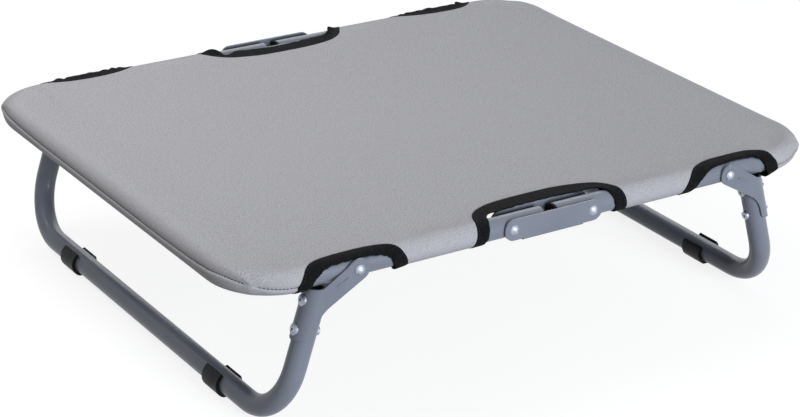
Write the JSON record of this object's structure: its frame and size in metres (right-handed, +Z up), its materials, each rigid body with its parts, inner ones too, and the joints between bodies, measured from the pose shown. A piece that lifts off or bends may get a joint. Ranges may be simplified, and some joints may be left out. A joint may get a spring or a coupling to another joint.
{
  "type": "raised folding dog cot",
  "caption": "Low raised dog cot: a stretched woven cover on a folding frame of bent steel tube, with splayed folding U legs, hinge links at the middle and black bound cut-outs.",
  "frame": {"origin": "floor point below the middle of the bed", "axes": "+X along the bed, from the left half to the right half; +Y from the front rail to the rear rail; +Z up"},
  "size_m": [0.699, 0.5652, 0.1742],
  "materials": {
    "powder_coat": "blue-grey semi-gloss powder coat on bent steel tube and sheet",
    "zinc": "bright zinc plated rivets",
    "black_plastic": "moulded black plastic, satin",
    "cover_fabric": "light grey heathered polyester weave, stretched tight",
    "binding_tape": "black woven binding tape"
  },
  "bodies": {
    "left_half": {"left_frame": "powder_coat", "left_front_rail_plug": "black_plastic", "left_rear_rail_plug": "black_plastic", "left_pivot_rivets": "zinc", "left_cover": "cover_fabric", "left_front_leg_binding": "binding_tape", "left_rear_leg_binding": "binding_tape", "left_front_centre_binding": "binding_tape", "left_rear_centre_binding": "binding_tape"},
    "centre_links": {"front_link": "powder_coat", "rear_link": "powder_coat", "link_rivets": "zinc", "centre_cover": "cover_fabric", "front_centre_binding": "binding_tape", "rear_centre_binding": "binding_tape"},
    "right_half": {"right_frame": "powder_coat", "right_front_rail_plug": "black_plastic", "right_rear_rail_plug": "black_plastic", "right_pivot_rivets": "zinc", "right_cover": "cover_fabric", "right_front_leg_binding": "binding_tape", "right_rear_leg_binding": "binding_tape", "right_front_centre_binding": "binding_tape", "right_rear_centre_binding": "binding_tape"},
    "left_leg": {"left_leg_tube": "powder_coat", "left_front_leg_plug": "black_plastic", "left_rear_leg_plug": "black_plastic", "left_front_bracket": "powder_coat", "left_rear_bracket": "powder_coat", "left_bracket_rivets": "zinc", "left_front_foot": "black_plastic", "left_rear_foot": "black_plastic"},
    "right_leg": {"right_leg_tube": "powder_coat", "right_front_leg_plug": "black_plastic", "right_rear_leg_plug": "black_plastic", "right_front_bracket": "powder_coat", "right_rear_bracket": "powder_coat", "right_bracket_rivets": "zinc", "right_front_foot": "black_plastic", "right_rear_foot": "black_plastic"}
  },
  "joints": [
    {"name": "left_fold", "type": "hinge", "parent": "left_half", "child": "centre_links", "pos_m": [-0.0475, 0, 0.1611], "axis": [0, 1, 0], "range_deg": [0, 90]},
    {"name": "right_fold", "type": "hinge", "parent": "centre_links", "child": "right_half", "pos_m": [0.0475, 0, 0.1611], "axis": [0, 1, 0], "range_deg": [0, 90]},
    {"name": "left_leg_fold", "type": "hinge", "parent": "left_half", "child": "left_leg", "pos_m": [-0.2225, 0, 0.1611], "axis": [0, -1, 0], "range_deg": [0, 107]},
    {"name": "right_leg_fold", "type": "hinge", "parent": "right_half", "child": "right_leg", "pos_m": [0.2225, 0, 0.1611], "axis": [0, 1, 0], "range_deg": [0, 107]}
  ],
  "couplings": [
    {"joint": "left_leg_fold", "follows": "left_fold", "ratio": 1.1888},
    {"joint": "right_leg_fold", "follows": "right_fold", "ratio": 1.1888}
  ]
}
